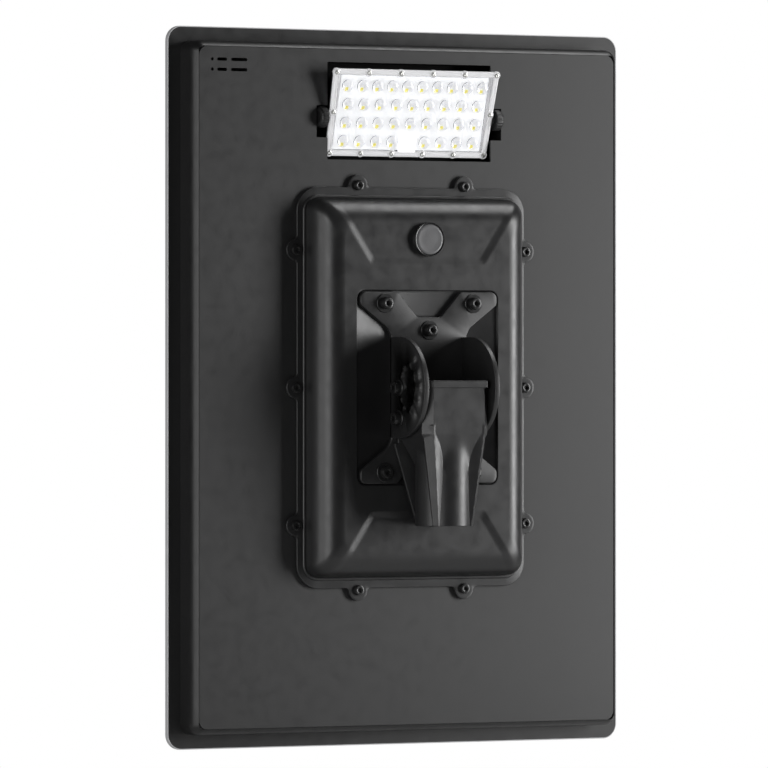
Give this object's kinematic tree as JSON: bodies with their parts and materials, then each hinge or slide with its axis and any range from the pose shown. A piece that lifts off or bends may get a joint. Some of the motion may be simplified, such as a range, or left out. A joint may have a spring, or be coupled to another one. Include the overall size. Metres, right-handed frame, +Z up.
{
  "type": "solar street light",
  "caption": "Solar street-light head: framed panel slab with battery dome, tilting lens module with side knobs, push button, and a yoke bracket on a pole sleeve.",
  "frame": {"origin": "centre of the pole sleeve's mouth, on the pole's axis", "axes": "+Z up along the pole, +X across the panel, -Y the way the lamp side looks, +Y the way the solar side looks at rest"},
  "size_m": [0.65, 0.1725, 0.894],
  "materials": {
    "cast_black": "black powder coat, satin",
    "black_steel": "black oxide, satin",
    "frame_black": "anodised, satin",
    "sun_glass": "textured toughened glass",
    "backsheet": "matte film",
    "cells": "dark blue-black silicon",
    "slab_black": "satin powder coat",
    "cover_black": "fine matte powder coat",
    "rubber_black": "matte",
    "dome_black": "satin powder coat",
    "plain_steel": "zinc plated",
    "battery_wrap": "shrink film",
    "inner_plastic": "moulded",
    "circuit": "solder mask",
    "bare_aluminium": "die cast, plain",
    "button_black": "satin",
    "button_grey": "satin",
    "bracket_black": "satin powder coat",
    "well_black": "matte",
    "board_white": "white solder mask",
    "phosphor": "yellow phosphor",
    "clear_lens": "clear moulded polycarbonate",
    "white_plastic": "moulded",
    "knob_black": "moulded"
  },
  "bodies": {
    "pole_mount": {"pole_sleeve": "cast_black", "sleeve_set_screws": "black_steel"},
    "head": {"front_frame": "frame_black", "solar_glass": "sun_glass", "panel_backsheet": "backsheet", "solar_cells": "cells", "rear_tray": "slab_black", "rear_cover": "cover_black", "dome_gasket": "rubber_black", "battery_dome": "dome_black", "dome_screws": "black_steel", "dome_nuts": "plain_steel", "battery_cells": "battery_wrap", "battery_tray": "inner_plastic", "battery_protection_board": "circuit", "charge_controller": "bare_aluminium", "button_ring": "button_black", "button_switch": "inner_plastic", "bracket_yoke": "bracket_black", "bracket_washers": "black_steel", "bracket_screws": "black_steel", "tilt_bolts": "black_steel", "tilt_washers": "black_steel", "tilt_nuts": "black_steel", "lamp_well": "well_black", "lamp_ears": "bracket_black"},
    "lamp": {"lamp_housing": "bare_aluminium", "led_board": "board_white", "led_chips": "phosphor", "lamp_gasket": "white_plastic", "lens_plate": "clear_lens", "lens_screws": "plain_steel", "sensor_cover": "white_plastic"},
    "left_knob": {"left_knob": "knob_black"},
    "right_knob": {"right_knob": "knob_black"},
    "button": {"button_cap": "button_grey"}
  },
  "joints": [
    {"name": "head_tilt", "type": "hinge", "parent": "pole_mount", "child": "head", "pos_m": [0, 0.0155, 0.1715], "axis": [1, 0, 0], "range_deg": [0, 90]},
    {"name": "lamp_tilt", "type": "hinge", "parent": "head", "child": "lamp", "pos_m": [0, 0.0845, 0.5079], "axis": [1, 0, 0], "range_deg": [-15, 25]},
    {"name": "left_knob_turn", "type": "hinge", "parent": "lamp", "child": "left_knob", "pos_m": [-0.125, 0.0845, 0.5079], "axis": [1, 0, 0], "continuous": true},
    {"name": "right_knob_turn", "type": "hinge", "parent": "lamp", "child": "right_knob", "pos_m": [0.125, 0.0845, 0.5079], "axis": [1, 0, 0], "continuous": true},
    {"name": "button_press", "type": "slide", "parent": "head", "child": "button", "axis": [0, 1, 0], "range_m": [0, 0.003], "stiffness_N_per_m": 600}
  ]
}
